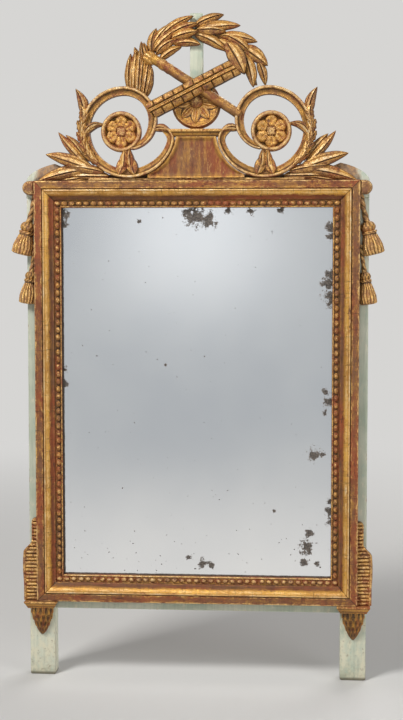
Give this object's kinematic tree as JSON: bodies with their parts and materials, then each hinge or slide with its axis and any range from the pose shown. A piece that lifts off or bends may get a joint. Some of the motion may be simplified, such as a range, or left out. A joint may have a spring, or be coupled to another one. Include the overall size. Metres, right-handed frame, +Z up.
{
  "type": "carved wood mirror",
  "caption": "Tall carved wood mirror with worn gilding on green-painted legs: pearl-edged frame round old silvered glass, tassels at the sides, pierced scroll crest with laurel wreath.",
  "frame": {"origin": "on the floor under the middle of the bounding box", "axes": "+Z up, -Y to the front (the glass side), +X to the viewer's right"},
  "size_m": [0.7158, 0.069, 1.275],
  "materials": {
    "worn_gilding": "worn water gilding over red bole, satin",
    "green_paint": "old grey-green paint, matt",
    "silvered_glass": "old silvered glass with foxing",
    "raw_pine": "unfinished softwood",
    "dark_iron": "dark forged iron"
  },
  "bodies": {
    "frame": {"back_bottom_rail": "green_paint", "back_top_rail": "green_paint", "backboard_bottom": "raw_pine", "backboard_middle": "raw_pine", "backboard_nails": "dark_iron", "backboard_top": "raw_pine", "bead_slip_bottom": "worn_gilding", "bead_slip_left": "worn_gilding", "bead_slip_right": "worn_gilding", "bead_slip_top": "worn_gilding", "crest_base": "worn_gilding", "crest_plinth": "worn_gilding", "crest_post": "green_paint", "frame_bottom_rail": "worn_gilding", "frame_left_stile": "worn_gilding", "frame_right_stile": "worn_gilding", "frame_screws": "dark_iron", "frame_top_rail": "worn_gilding", "glazing_blocks": "raw_pine", "glazing_fillets": "raw_pine", "hanger_screws": "dark_iron", "joint_pegs": "raw_pine", "left_corner_block": "worn_gilding", "left_ear": "worn_gilding", "left_hanger_plate": "dark_iron", "left_husk": "worn_gilding", "left_leaf_drop": "worn_gilding", "left_leaf_spray": "worn_gilding", "left_lower_tassel": "worn_gilding", "left_post": "green_paint", "left_reeded_bracket": "worn_gilding", "left_rosette": "worn_gilding", "left_rosette_flower": "worn_gilding", "left_scroll": "worn_gilding", "left_scroll_leaf": "worn_gilding", "left_upper_tassel": "worn_gilding", "mirror_plate": "silvered_glass", "patera": "worn_gilding", "plinth_cap": "worn_gilding", "quiver": "worn_gilding", "right_corner_block": "worn_gilding", "right_ear": "worn_gilding", "right_hanger_plate": "dark_iron", "right_husk": "worn_gilding", "right_leaf_drop": "worn_gilding", "right_leaf_spray": "worn_gilding", "right_lower_tassel": "worn_gilding", "right_post": "green_paint", "right_reeded_bracket": "worn_gilding", "right_rosette": "worn_gilding", "right_rosette_flower": "worn_gilding", "right_scroll": "worn_gilding", "right_scroll_leaf": "worn_gilding", "right_upper_tassel": "worn_gilding", "torch": "worn_gilding", "wreath_left_branch": "worn_gilding", "wreath_right_branch": "worn_gilding"},
    "left_ring": {"left_hanging_ring": "dark_iron"},
    "right_ring": {"right_hanging_ring": "dark_iron"}
  },
  "joints": [
    {"name": "left_ring_swing", "type": "hinge", "parent": "frame", "child": "left_ring", "pos_m": [-0.18, 0.0267, 0.94925], "axis": [1, 0, 0], "range_deg": [0, 170]},
    {"name": "right_ring_swing", "type": "hinge", "parent": "frame", "child": "right_ring", "pos_m": [0.18, 0.0267, 0.94925], "axis": [1, 0, 0], "range_deg": [0, 170]}
  ]
}
